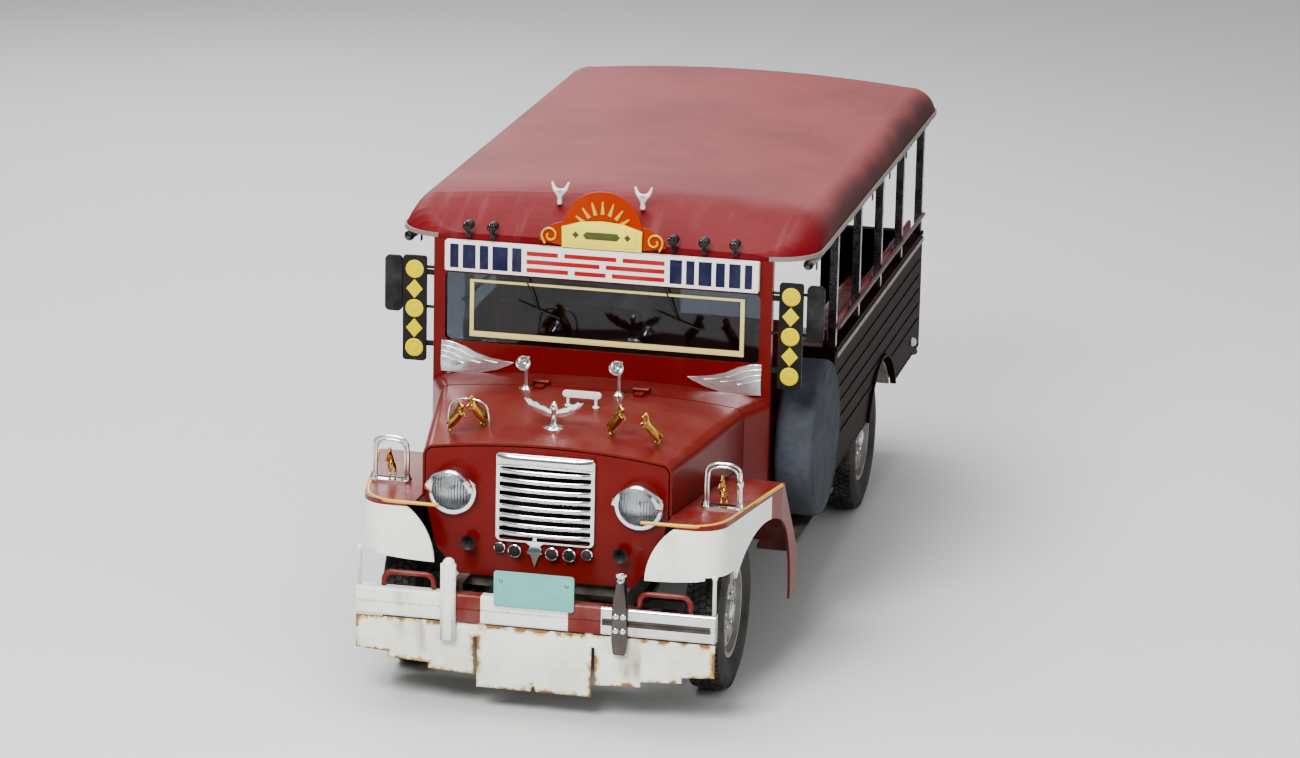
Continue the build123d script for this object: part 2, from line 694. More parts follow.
def section_loft(stations):
    """Ruled loft through (station, face) pairs drawn in front view."""
    faces = [
        Plane(origin=(0, s, 0), x_dir=(1, 0, 0), z_dir=(0, -1, 0)) * face
        for s, face in stations
    ]
    return loft(faces, ruled=True)


def hood_form(inset, bottom, s0=HOOD_S0, s1=HOOD_S1):
    def at(s):
        share = (s - HOOD_S0) / (HOOD_S1 - HOOD_S0)
        half = HOOD_FRONT_HALF + share * (HOOD_REAR_HALF - HOOD_FRONT_HALF)
        edge = HOOD_FRONT_Z + share * (HOOD_REAR_Z - HOOD_FRONT_Z)
        return hood_section(half, edge, HOOD_CROWN, bottom, inset)
    return section_loft([(s0, at(s0)), (s1, at(s1))])


def hinge_half(x, on_hood):
    """The bonnet's middle knuckle, or the cowl's two ears and the pin."""
    if on_hood:
        low, high = x - HINGE_LEN / 2, x + HINGE_LEN / 2
        knuckle_tube = rod((low, HINGE_S, HINGE_Z), (high, HINGE_S, HINGE_Z), HINGE_R)
        leaf_z = (HINGE_Z - HINGE_R - 22, HINGE_Z - HINGE_R + 3)
        leaf = block((low, high), (HINGE_S - 60, HINGE_S), leaf_z)
        bore = rod((x - 60, HINGE_S, HINGE_Z), (x + 60, HINGE_S, HINGE_Z), HINGE_PIN_R + PIN_PLAY)
        return knuckle_tube + leaf - bore
    ears = []
    for side in (-1, 1):
        a = x + side * (HINGE_LEN / 2 + 1)
        b = a + side * 14
        ears.append(rod((a, HINGE_S, HINGE_Z), (b, HINGE_S, HINGE_Z), HINGE_R))
        ears.append(block((min(a, b), max(a, b)), (HINGE_S, HINGE_S + 40), (HINGE_Z - HINGE_R - 26, HINGE_Z)))
    pin = rod((x - HINGE_LEN / 2 - 10, HINGE_S, HINGE_Z), (x + HINGE_LEN / 2 + 10, HINGE_S, HINGE_Z), HINGE_PIN_R)
    return fused([*ears, pin])


def hood():
    void = hood_form(HOOD_T, HOOD_BOTTOM - 20, HOOD_S0 - 50, HOOD_S1 + 50)
    hinges = [hinge_half(x, True) for x in HINGE_X]
    return fused([hood_form(0, HOOD_BOTTOM), *hinges]) - void


# Outline of a rearing cast figure in side view: (distance behind its feet, height), as shares of its height
FIGURE_OUTLINE = (
    (0.08, 0.0), (0.21, 0.0), (0.26, 0.15), (0.22, 0.28), (0.33, 0.19), (0.36, 0.25), (0.27, 0.43), (0.20, 0.50),
    (0.06, 0.62), (-0.05, 0.76), (-0.10, 0.92), (-0.15, 1.0), (-0.19, 0.94), (-0.35, 0.88), (-0.36, 0.81),
    (-0.24, 0.79), (-0.21, 0.70), (-0.35, 0.64), (-0.35, 0.51), (-0.28, 0.51), (-0.26, 0.58), (-0.15, 0.54),
    (-0.04, 0.40), (0.01, 0.29), (0.12, 0.16),
)
# Swept wing in front view: (distance from the middle, height over its root)
WING_OUTLINE = (
    (6.0, 0.0), (40.0, 4.0), (82.0, 20.0), (118.0, 46.0), (140.0, 80.0), (112.0, 80.0), (86.0, 66.0), (6.0, 30.0),
)
# Trumpets on the bonnet, by X
TRUMPETS = (-292.0, 145.0)
# Cast figures on the bonnet: (X, station)
BONNET_FIGURES = ((-455.0, 360.0), (-345.0, 440.0), (262.0, 440.0), (445.0, 400.0))


def bonnet_height(x, s):
    """Height of the crowned bonnet at X and a station."""
    share = (s - HOOD_S0) / (HOOD_S1 - HOOD_S0)
    half = HOOD_FRONT_HALF + share * (HOOD_REAR_HALF - HOOD_FRONT_HALF) - HOOD_CORNER
    edge = HOOD_FRONT_Z + share * (HOOD_REAR_Z - HOOD_FRONT_Z)
    radius = (half**2 + HOOD_CROWN**2) / (2 * HOOD_CROWN)
    return edge + HOOD_CROWN - radius + math.sqrt(radius**2 - x**2)


def figure(x, s, foot_z, tall):
    """A rearing casting on a round base."""
    body = outline(*[(s + back * tall, foot_z + rise * tall) for back, rise in FIGURE_OUTLINE])
    body = side_prism(body, x - FIGURE_T / 2, x + FIGURE_T / 2)
    legs_s = s + 0.15 * tall
    profile = [(FIGURE_BASE_R, -ROOT), (FIGURE_BASE_R, 1), (FIGURE_BASE_R - 6, 3)]
    return body + turned((x, legs_s, foot_z), (0, 0, 1), profile)


def trumpet(x):
    """A horn with a flared mouth that faces forward, on a turned stalk."""
    foot = (x, TRUMPET_S, bonnet_height(x, TRUMPET_S))
    stalk = turned(foot, (0, 0, 1), [
        (TRUMPET_R - 1, -ROOT), (TRUMPET_R - 1, 6), (24, 12), (12, 22), (10, 0.6 * TRUMPET_H),
        (14, TRUMPET_H + 4),
    ])
    back = (x, TRUMPET_S + 30, foot[2] + TRUMPET_H)
    horn = turned(back, (0, -1, 0), [
        (8, -4), (15, 0), (17, 50), (22, 72), (TRUMPET_R - 2, TRUMPET_LEN - 4), (TRUMPET_R, TRUMPET_LEN),
    ])
    mouth = turned(back, (0, -1, 0), [
        (4, 46), (13, 64), (TRUMPET_R - 8, TRUMPET_LEN - 4), (TRUMPET_R - 3, TRUMPET_LEN + 1),
    ])
    return stalk + horn - mouth


def mascot():
    """Swept wings on a turned post at the bonnet's nose."""
    foot = (MASCOT_X, MASCOT_S, bonnet_height(MASCOT_X, MASCOT_S))
    post = turned(foot, (0, 0, 1), [
        (48, -ROOT), (48, 4), (38, 10), (20, 14), (13, 30), (12, 80), (17, 98), (12, 116), (4, MASCOT_H),
    ])
    wing = outline(*[(x, foot[2] + WING_RISE + rise) for x, rise in WING_OUTLINE])
    wing = front_prism(wing, MASCOT_S - WING_T / 2, MASCOT_S + WING_T / 2)
    return fused([post, *[Pos(MASCOT_X, 0, 0) * side for side in both_sides(wing)]])


def name_rail():
    """A short flat bar across the bonnet, on two stalks."""
    top = bonnet_height(NAME_RAIL_X, NAME_RAIL_S) + NAME_RAIL_Z
    bar = Pos(NAME_RAIL_X, top) * RectangleRounded(2 * NAME_RAIL_HALF, 30, 13)
    pieces = [front_prism(bar, NAME_RAIL_S - 9, NAME_RAIL_S + 9)]
    for x in (NAME_RAIL_X - 65, NAME_RAIL_X + 65):
        foot = (x, NAME_RAIL_S, bonnet_height(x, NAME_RAIL_S))
        pieces.append(turned(foot, (0, 0, 1), [(16, -ROOT), (16, 3), (7, 8), (7, NAME_RAIL_Z)]))
    return fused(pieces)


def bonnet_hoop():
    """A thin arc that stands over the figure at the bonnet's right corner."""
    (near, far), s = BONNET_HOOP_X, BONNET_HOOP_S
    top = bonnet_height(far, s) + BONNET_HOOP_RISE
    low = bonnet_height(near, s) - ROOT
    path = FilletPolyline((near, s, low), (near, s, top), (far, s, top), (far, s, low), radius=60)
    return sweep(Plane(origin=path @ 0, z_dir=path % 0) * Circle(BONNET_HOOP_R), path=path)


def hood_ornaments():
    """Trumpets, mascot, bar, arc and figures; each foot is trimmed to rest on the bonnet."""
    stand = hood_form(-SEAT, HOOD_BOTTOM)
    made = [trumpet(x) for x in TRUMPETS] + [mascot(), name_rail(), bonnet_hoop()]
    for x, s in BONNET_FIGURES:
        made.append(figure(x, s, bonnet_height(x, s) + FIGURE_BASE_T, BONNET_FIGURE_H))
    return [shape - stand for shape in made]


def front_panel():
    """Panel round the grille: arched under the bonnet, tapering down to the bumper."""
    inset = HOOD_T + CLEAR
    upper = hood_section(HOOD_FRONT_HALF, HOOD_FRONT_Z, HOOD_CROWN, FENDER_TOP - 20, inset)
    wide = HOOD_FRONT_HALF - inset
    foot, foot_z = PANEL_FOOT_HALF, RAIL_TOP + SEAT
    waist = foot_z + 120
    top = FENDER_TOP - 15
    lower = outline((-wide, top), (wide, top), (505, waist), (foot, foot_z), (-foot, foot_z), (-505, waist))
    s1 = PANEL_S0 + PANEL_T
    panel = front_prism(upper + lower, PANEL_S0, s1)
    opening = Pos(0, sum(GRILLE_Z) / 2) * Rectangle(2 * GRILLE_HALF - 8, GRILLE_Z[1] - GRILLE_Z[0] - 20)
    panel -= front_prism(opening, PANEL_S0 - 5, s1 + 5)
    for x in (-LAMP_X, LAMP_X):
        panel -= rod((x, PANEL_S0 - 5, LAMP_Z), (x, s1 + 5, LAMP_Z), LAMP_HOLE_R)
    flange = block((RAIL_X, RAIL_OUT), (s1 - 2, s1 + 40), (foot_z, foot_z + 8))
    return fused([panel, *both_sides(flange)])


def grille():
    """Chrome surround with a deep top bar over eight bowed slats."""
    s0, s1 = PANEL_S0 - GRILLE_DEPTH, PANEL_S0 - SEAT
    z0, z1 = GRILLE_Z
    outer = Pos(0, (z0 + z1) / 2) * RectangleRounded(2 * GRILLE_HALF, z1 - z0, 26)
    inner = Pos(0, (z0 + z1 - GRILLE_CAP_H) / 2) * RectangleRounded(
        2 * (GRILLE_HALF - GRILLE_RIM), z1 - z0 - GRILLE_CAP_H - 2 * GRILLE_RIM + GRILLE_RIM, 12
    )
    ring = front_prism(outer, s0 + 8, s1) - front_prism(inner, s0, s1 + 5)
    cap = Pos(0, z1 - GRILLE_CAP_H / 2) * RectangleRounded(2 * GRILLE_HALF - 6, GRILLE_CAP_H, 20)
    cap = front_prism(cap, s0 - 6, s1)
    pieces = [ring, cap]
    reach = GRILLE_HALF - GRILLE_RIM + 2
    for number in range(SLAT_COUNT):
        z = z1 - GRILLE_CAP_H - 30 - number * SLAT_PITCH
        near, far = s1 - 10, s1 - 10 + SLAT_T
        front = ThreePointArc((-reach, near), (0, near - SLAT_BOW), (reach, near))
        back = ThreePointArc((reach, far), (0, far - SLAT_BOW), (-reach, far))
        ends = [Line(front @ 1, back @ 0), Line(back @ 1, front @ 0)]
        pieces.append(plan_prism(make_face([front, ends[0], back, ends[1]]), z - SLAT_H / 2, z + SLAT_H / 2))
    return fused(pieces)


def headlamps():
    """Bucket, bezel ring and eyelid visor for each lamp."""
    face_s = PANEL_S0 - SEAT
    made = []
    for x in (-LAMP_X, LAMP_X):
        bucket = rod((x, face_s - 2, LAMP_Z), (x, face_s + LAMP_BUCKET, LAMP_Z), LAMP_HOLE_R - 1)
        ring = rod((x, face_s - 26, LAMP_Z), (x, face_s, LAMP_Z), LAMP_BEZEL_R)
        ring = fillet(ring.edges().sort_by(Axis.Y)[:1], 8)
        hollow = rod((x, face_s - 40, LAMP_Z), (x, face_s + 30, LAMP_Z), LAMP_LENS_R + SEAT)
        visor = rod((x, face_s - 72, LAMP_Z), (x, face_s - 10, LAMP_Z), LAMP_BEZEL_R + 2)
        visor -= rod((x, face_s - 90, LAMP_Z), (x, face_s, LAMP_Z), LAMP_BEZEL_R - 3)
        lid_line = outline(
            (face_s - 90, LAMP_Z - 200), (face_s - 90, LAMP_Z + 100), (face_s - 8, LAMP_Z + 20),
            (face_s - 8, LAMP_Z - 200),
        )
        visor -= side_prism(lid_line, x - 200, x + 200)
        made.append(fused([bucket, ring, visor]) - hollow)
    return made


def headlamp_lenses():
    face_s = PANEL_S0 - SEAT
    made = []
    for x in (-LAMP_X, LAMP_X):
        dome = Pos(x, face_s + 135, LAMP_Z) * Sphere(180)
        dome &= rod((x, face_s - 60, LAMP_Z), (x, face_s + 10, LAMP_Z), LAMP_LENS_R)
        made.append(dome)
    return made


def fender_plan(inset):
    """Plan of a fender: rounded front corner, widening towards the wheel."""
    x0, s0 = FENDER_IN, FENDER_S0 + inset
    front, wide = FENDER_FRONT_X - inset, FENDER_WIDE_X - inset
    face = outline((x0, s0), (front, s0), (wide, FENDER_WIDE_S), (wide, FENDER_TAIL_S), (x0, FENDER_TAIL_S))
    corner = face.vertices().sort_by(lambda v: abs(v.X - front) + abs(v.Y - s0))[0]
    return fillet(corner, FENDER_CORNER - inset)


def fender_side(drop):
    """Side view of everything under the fender's top skin, lowered by drop."""
    top = FENDER_TOP - drop
    slope = (FENDER_TOP - FENDER_TAIL_Z) / (FENDER_TAIL_S - FENDER_BREAK_S)
    run = drop * (math.sqrt(1 + slope**2) - 1) / slope
    return outline(
        (FENDER_S0 - 20, 300), (FENDER_S0 - 20, top), (FENDER_BREAK_S - run, top),
        (FENDER_TAIL_S + 60 - run, top - slope * (FENDER_TAIL_S + 60 - FENDER_BREAK_S)),
        (FENDER_TAIL_S + 60 - run, 300),
    )


def cowl_form(inset, bottom, s0=COWL_S0, s1=SCREEN_S0 - SEAT):
    def at(s):
        share = (s - COWL_S0) / (SCREEN_S0 - SEAT - COWL_S0)
        half = HOOD_REAR_HALF + share * (CAB_HALF - HOOD_REAR_HALF)
        edge = HOOD_REAR_Z + share * (COWL_REAR_Z - HOOD_REAR_Z)
        return hood_section(half, edge, HOOD_CROWN, bottom, inset)
    return section_loft([(s0, at(s0)), (s1, at(s1))])


def front_fender():
    """Flat-topped fender on the driver's side, with its hanging apron and wheel arch."""
    x1 = FENDER_WIDE_X + 40
    skin = plan_prism(fender_plan(0), 300, FENDER_TOP) & side_prism(fender_side(0), FENDER_IN, x1)
    cavity = plan_prism(fender_plan(FENDER_T), 200, FENDER_TOP) & side_prism(fender_side(FENDER_T), 0, x1)
    skin -= cavity
    apron_cut = make_face([
        Line((300, FENDER_TOP + 5), (APRON_TOP_X, FENDER_TOP + 5)),
        Line((APRON_TOP_X, FENDER_TOP + 5), (APRON_TOP_X, FENDER_TOP - FENDER_T - 8)),
        ThreePointArc(
            (APRON_TOP_X, FENDER_TOP - FENDER_T - 8), (APRON_TIP_X + 42, APRON_TIP_Z + 150),
            (APRON_TIP_X, APRON_TIP_Z),
        ),
        ThreePointArc(
            (APRON_TIP_X, APRON_TIP_Z), (660, APRON_TIP_Z + 8), (FENDER_WIDE_X + 60, APRON_OUT_Z + 20)
        ),
        Line((FENDER_WIDE_X + 60, APRON_OUT_Z + 20), (FENDER_WIDE_X + 60, 200)),
        Line((FENDER_WIDE_X + 60, 200), (300, 200)),
        Line((300, 200), (300, FENDER_TOP + 5)),
    ])
    skin -= front_prism(apron_cut, FENDER_S0 - 20, FENDER_S0 + FENDER_T + SEAT)
    below = outline(
        (FENDER_S0 + FENDER_T, 200), (FENDER_S0 + FENDER_T, APRON_OUT_Z - 18),
        (AXLE_FRONT - 350, APRON_OUT_Z - 30), (AXLE_FRONT - 250, 200),
    )
    skin -= side_prism(below, FENDER_IN - 10, x1)
    skin -= rod((FENDER_IN + 120, AXLE_FRONT, TYRE_R), (x1, AXLE_FRONT, TYRE_R), ARCH_R)
    notch_s = (FENDER_S0 + FENDER_T + SEAT, PANEL_S0 + PANEL_T + SEAT)
    skin -= block((0, HOOD_FRONT_HALF + 4), notch_s, (300, FENDER_TOP + 40))
    skin -= cowl_form(-SEAT, 200, COWL_S0 - SEAT, SCREEN_S0)
    skin -= rod((LAMP_X, PANEL_S0, LAMP_Z), (LAMP_X, PANEL_S0 + LAMP_BUCKET + 20, LAMP_Z), LAMP_HOLE_R + 4)
    cheek = hood_form(0, 600, FENDER_BREAK_S - 60, HOOD_S1 + 9)
    cheek -= hood_form(8, 500, FENDER_BREAK_S - 100, HOOD_S1 + 40)
    cheek &= block((300, CAB_HALF), (FENDER_BREAK_S - 60, HOOD_S1 + 9), (600, FENDER_TOP))
    cheek -= side_prism(fender_side(FENDER_T / 2), 200, x1)
    rail_foot = block((RAIL_OUT - 12, FENDER_IN + 20), (330, 400), (FENDER_TOP - 60, FENDER_TOP - FENDER_T + 2))
    strut = block((RAIL_OUT - 12, RAIL_OUT - 2), (330, 400), (RAIL_TOP + SEAT, FENDER_TOP - FENDER_T + 2))
    return fused([skin, cheek, rail_foot, strut])


def cowl():
    """Cowl top and sides, firewall and dashboard in one welded pressing."""
    shell = cowl_form(0, SKIN_BOTTOM) - cowl_form(COWL_T, SKIN_BOTTOM - 40, COWL_S0 - 30, SCREEN_S0 + 30)
    form = cowl_form(1, CAB_FLOOR_Z)
    fire = form & block((-CAB_HALF, CAB_HALF), (FIREWALL_S, FIREWALL_S + SHEET_T), (0, RIM_Z))
    dash_end = SCREEN_S0 - SEAT
    dash = form & block((-CAB_HALF, CAB_HALF), (dash_end - DASH_T, dash_end), (DASH_Z, RIM_Z))
    fire -= rod((COLUMN_X, *column_at(1000.0)), (COLUMN_X, *column_at(1250.0)), COLUMN_R + 4)
    hinges = [hinge_half(x, False) for x in HINGE_X]
    void = cowl_form(COWL_T, SKIN_BOTTOM - 40, COWL_S0 - 30, SCREEN_S0 + 30)
    return fused([shell, fire, dash, *[hinge - void for hinge in hinges]])


def column_at(station):
    """(station, height) of the steering column's axis."""
    return station, WHEEL_Z - (WHEEL_S - station) * math.tan(math.radians(COLUMN_TILT))


# Bumper, valance and fender ornaments

def front_bumper():
    bar = block((-BAR_HALF, BAR_HALF), BAR_S, BAR_Z)
    bar = fillet(bar.edges().filter_by(Axis.X).sort_by(Axis.Y)[:2], 14)
    hollow_z = (BAR_Z[0] + BAR_T, BAR_Z[1] - BAR_T)
    bar -= block((-BAR_HALF + BAR_T, BAR_HALF - BAR_T), (BAR_S[0] + BAR_T, BAR_S[1] + 5), hollow_z)
    foot = block((RAIL_X, RAIL_OUT), (BAR_S[0] + BAR_T - 1, BAR_S[1]), (RAIL_Z, BAR_Z[1] - 5))
    middle = (BAR_Z[0] + BAR_Z[1]) / 2
    groove = block((-BAR_HALF - 5, BAR_HALF + 5), (BAR_S[0] - 5, BAR_S[0] + 4), (middle - 6, middle + 2))
    face_s = BAR_S[0] - PLATE_BRACKET_T
    bracket_z = (PLATE_BRACKET_LOW, PLATE_BOLT_Z + 20)
    bracket = block((-PLATE_BOLT_X - 20, PLATE_BOLT_X + 20), (face_s, BAR_S[0]), bracket_z)
    weld_z = (PLATE_BRACKET_LOW, BAR_Z[1] - 20)
    bracket += block((-PLATE_BOLT_X, PLATE_BOLT_X), (face_s + 1, BAR_S[0] + 1), weld_z)
    for x in (-PLATE_BOLT_X, PLATE_BOLT_X):
        bracket -= rod((x, face_s - 5, PLATE_BOLT_Z), (x, BAR_S[0] + 5, PLATE_BOLT_Z), PLATE_BOLT_R)
    return fused([bar, *both_sides(foot)]) - groove + bracket


def bumper_guards():
    """Two upright guards, two corner posts and two looped tubes behind the bar."""
    made = []
    for x in (-GUARD_X, GUARD_X):
        guard = block((x - GUARD_W / 2, x + GUARD_W / 2), (0, BAR_S[0] - SEAT), GUARD_Z)
        guard = fillet(guard.edges().filter_by(Axis.Z).sort_by(Axis.Y)[:2], 16)
        head = Pos(x, GUARD_HEAD_R, GUARD_Z[1]) * Sphere(GUARD_HEAD_R)
        tail = block((x - 22, x + 22), (BAR_S[0] - 8, BAR_S[1] - 12), (BAR_Z[1] + SEAT, GUARD_Z[1] - 10))
        made.append(fused([guard, head, tail]))
    post_x = BAR_HALF - POST_R - 2
    for x in (-post_x, post_x):
        base_z = BAR_Z[1] + SEAT
        middle = (BAR_S[0] + BAR_S[1]) / 2
        post = rod((x, middle, base_z), (x, middle, POST_TOP), POST_R)
        made.append(post + Pos(x, middle, POST_TOP) * Sphere(POST_R + 4))
    for side in (-1, 1):
        s, low = BAR_S[1] - LOOP_R - 2, BAR_Z[1] + SEAT
        near, far = side * LOOP_X[0], side * LOOP_X[1]
        loop = FilletPolyline((near, s, low), (near, s, LOOP_TOP), (far, s, LOOP_TOP), (far, s, low), radius=40)
        section = Plane(origin=loop @ 0, z_dir=loop % 0) * Circle(LOOP_R)
        made.append(sweep(section, path=loop))
    return made


# Steps of the valance's lower edge: (inner X, outer X, drop below the upper edge)
SKIRT_STEPS = (
    (0.0, 262.0, 290.0),
    (276.0, 486.0, 232.0),
    (486.0, 672.0, 198.0),
    (672.0, BAR_HALF, 162.0),
)


def front_skirt():
    """Sheet valance under the bumper, its lower edge stepping up to the ends."""
    back = SKIRT_S + SKIRT_T
    pieces = [block((-BAR_HALF, BAR_HALF), (SKIRT_S, back), (SKIRT_TOP - SKIRT_WEB, SKIRT_TOP))]
    for x0, x1, drop in SKIRT_STEPS:
        low = SKIRT_TOP - drop
        rise = 10 if x0 else 0
        tongue = outline((x0, SKIRT_TOP - 5), (x1, SKIRT_TOP - 5), (x1, low + rise), (x0, low))
        pieces += both_sides(front_prism(tongue, SKIRT_S, back))
    low = SKIRT_TOP - SKIRT_STEPS[0][2]
    notch = outline((-14, low - 8), (14, low - 8), (0, low + 32))
    made = fused(pieces) - front_prism(notch, SKIRT_S - 2, back + 2)
    stay = block((230, 262), (back - 1, BAR_S[1]), (SKIRT_TOP - 12, BAR_Z[0] - SEAT))
    return fused([made, *both_sides(stay)])


def fender_arches():
    """A hoop over a rearing figure on each fender, and a finial on the driver's side."""
    base_z = FENDER_TOP + SEAT
    made = []
    for x in (-HOOP_X, HOOP_X):
        near, far = x - HOOP_HALF, x + HOOP_HALF
        hoop = FilletPolyline(
            (near, HOOP_S, base_z), (near, HOOP_S, HOOP_TOP), (far, HOOP_S, HOOP_TOP), (far, HOOP_S, base_z),
            radius=HOOP_HALF - 4,
        )
        section = Plane(origin=hoop @ 0, z_dir=hoop % 0) * Circle(HOOP_R)
        plan = Pos(x, HOOP_S) * RectangleRounded(2 * HOOP_HALF + 20, 2 * PLINTH_HALF, 14)
        plinth = plan_prism(plan, base_z, base_z + PLINTH_T)
        rearing = figure(x, HOOP_S, base_z + PLINTH_T + FIGURE_BASE_T, ARCH_FIGURE_H)
        rearing &= block((near, far), (HOOP_S - 200, HOOP_S + 200), (base_z, HOOP_TOP))
        made.append(fused([sweep(section, path=hoop), plinth, rearing]))
    made.append(turned((FINIAL_X, HOOP_S, base_z), (0, 0, 1), [
        (FINIAL_R, 0), (FINIAL_R, 4), (9, 12), (7, 90), (14, 104), (FINIAL_R, 122), (13, 140), (6, 156),
        (9, 166), (2, FINIAL_H),
    ]))
    return made


# Windscreen, boards and mirrors

def windshield_frame():
    s0, s1 = SCREEN_S0, SCREEN_S1
    plate = block((-CAB_HALF, CAB_HALF), (s0, s1), (CAB_FLOOR_TOP + SEAT, SCREEN_TOP))
    under = block((-GLASS_HALF, GLASS_HALF), (s0 - 5, s1 + 5), (0, COWL_REAR_Z + 3))
    pane = Pos(0, sum(GLASS_Z) / 2) * RectangleRounded(2 * GLASS_HALF, GLASS_Z[1] - GLASS_Z[0], 28)
    middle = (COWL_REAR_Z + GLASS_Z[0]) / 2
    panel_relief = Pos(0, middle) * RectangleRounded(2 * GLASS_HALF - 110, GLASS_Z[0] - COWL_REAR_Z - 60, 20)
    made = plate - under - front_prism(pane, s0 - 5, s1 + 5)
    made -= front_prism(panel_relief, s0 + 10, s1 + 5)
    return made


def windshield_glass():
    half, z0, z1 = GLASS_HALF - SEAT, GLASS_Z[0] + SEAT, GLASS_Z[1] - SEAT
    pane = Pos(0, (z0 + z1) / 2) * RectangleRounded(2 * half, z1 - z0, 28)
    return front_prism(pane, SCREEN_S0 + GLASS_IN, SCREEN_S0 + GLASS_IN + GLASS_T)


def sign_boards():
    """Long board over the windscreen and a tall narrow one beside each pillar."""
    half = CAB_HALF - 60
    front = block((-half, half), (SCREEN_S0 - BOARD_T, SCREEN_S0 - SEAT), BOARD_Z)
    made = [fillet(front.edges().filter_by(Axis.Y), 8)]
    side = block(SIDE_BOARD_X, (SCREEN_S0 - 8, SCREEN_S0 + 8), SIDE_BOARD_Z)
    side = fillet(side.edges().filter_by(Axis.Y), 14)
    for z in (SIDE_BOARD_Z[0] + 84, SIDE_BOARD_Z[1] - 77):
        side += block((CAB_HALF + SEAT, SIDE_BOARD_X[0] + 6), (SCREEN_S0 + 2, SCREEN_S0 + 14), (z - 12, z + 12))
    return made + both_sides(side)


def mirrors():
    s = SCREEN_S0 + 27
    head = block(MIRROR_X, (s - 9, s + 9), MIRROR_Z)
    head = fillet(head.edges().filter_by(Axis.Y), 22)
    arms = [rod((CAB_HALF + SEAT, s, z), (MIRROR_X[0] + 7, s, z), 7) for z in (MIRROR_Z[0] + 30, MIRROR_Z[1] - 45)]
    return both_sides(fused([head, *arms]))


def steering_column():
    top = (COLUMN_X, *column_at(WHEEL_S - STEER_STUB))
    foot_s, foot_z = column_at(940.0)
    tube = rod((COLUMN_X, foot_s, foot_z), top, COLUMN_R)
    low = RAIL_TOP + SEAT
    box = block((COLUMN_X - 50, COLUMN_X + 50), (880, 985), (low, low + 90))
    return tube + fillet(box.edges().filter_by(Axis.X), 12)


def steering_wheel():
    """Rim, three spokes and a stub that runs in the column's upper end."""
    plane = Plane(
        origin=(COLUMN_X, WHEEL_S, WHEEL_Z), x_dir=(1, 0, 0),
        z_dir=(0, math.cos(math.radians(COLUMN_TILT)), math.sin(math.radians(COLUMN_TILT))),
    )
    rim_ring = Torus(STEER_WHEEL_R, STEER_RIM_R)
    hub = Pos(0, 0, -25) * Cylinder(34, 50)
    spokes = []
    for turn in (90, 210, 330):
        spoke = Pos(STEER_WHEEL_R / 2, 0, -4) * Box(STEER_WHEEL_R, 22, 8)
        spokes.append(Rot(0, 0, turn) * spoke)
    drop = STEER_STUB / math.cos(math.radians(COLUMN_TILT)) - 1.0
    shaft = Pos(0, 0, -drop / 2) * Cylinder(14, drop)
    return plane * fused([hub, *spokes, rim_ring, shaft])


# Floor, sides and seats

def floor():
    start, level = FIREWALL_S + SHEET_T + SEAT, (CAB_FLOOR_Z, CAB_FLOOR_TOP)
    front = cowl_form(COWL_T + SEAT, CAB_FLOOR_Z) & block((-CAB_IN, CAB_IN), (start, SCREEN_S0), level)
    cab = front + block((-CAB_IN, CAB_IN), (SCREEN_S0 - 1, BULKHEAD_S - SEAT), level)
    start, end = BULKHEAD_S + SHEET_T + SEAT, BODY_END - BODY_T - SEAT
    deck = block((-BODY_IN, BODY_IN), (start, end), (FLOOR_Z, FLOOR_TOP))
    bearers = [
        block((-BODY_IN, BODY_IN), (s - BEARER_W / 2, s + BEARER_W / 2), (CAB_FLOOR_Z, FLOOR_Z))
        for s in spread(start + BEARER_W / 2, end - BEARER_W / 2, BEARER_COUNT)
    ]
    deck = fused([deck, *bearers])
    near = HOUSING_IN - HOUSING_T - SEAT
    for side in (-1, 1):
        axis = (side * near, AXLE_REAR, TYRE_R), (side * (BODY_IN + 50), AXLE_REAR, TYRE_R)
        deck -= rod(*axis, HOUSING_R + SEAT)
    return [cab, deck]


def wheel_housing():
    ring = rod((HOUSING_IN - HOUSING_T, AXLE_REAR, TYRE_R), (BODY_IN, AXLE_REAR, TYRE_R), HOUSING_R)
    ring -= rod((HOUSING_IN, AXLE_REAR, TYRE_R), (BODY_IN + 5, AXLE_REAR, TYRE_R), HOUSING_R - HOUSING_T)
    keep = block((0, BODY_HALF), (AXLE_REAR - 500, AXLE_REAR + 500), (CAB_FLOOR_Z, TYRE_R + HOUSING_R + 5))
    return ring & keep


def bench_box():
    """Riser, seat board and end boards of the long bench."""
    z0 = FLOOR_TOP + SEAT
    x0 = BENCH_FRONT_X
    s0, s1 = BENCH_S[0] - 20, BENCH_S[1] + 20
    riser = block((x0, x0 + BENCH_BOARD_T), (s0, s1), (z0, BENCH_TOP))
    board = block((x0, BODY_IN), (s0, s1), (BENCH_TOP - BENCH_BOARD_T, BENCH_TOP))
    ends = [block((x0, BODY_IN), (s, s + BENCH_BOARD_T), (z0, BENCH_TOP)) for s in (s0, s1 - BENCH_BOARD_T)]
    return fused([riser, board, *ends])


def bench_cushion():
    pad = block((BENCH_FRONT_X - 6, BODY_IN - 1), BENCH_S, (BENCH_TOP + SEAT, CUSHION_TOP))
    return fillet(pad.edges().filter_by(Axis.Y), 18)


def bench_back():
    pad = block((POST_X - SEAT - BACK_T, POST_X - SEAT), BENCH_S, BACK_Z)
    return fillet(pad.edges().filter_by(Axis.Y), 12)


# Cab seats: (low X, high X)
CAB_SEATS = ((70.0, CAB_IN - 45.0), (40.0 - CAB_IN, -10.0))


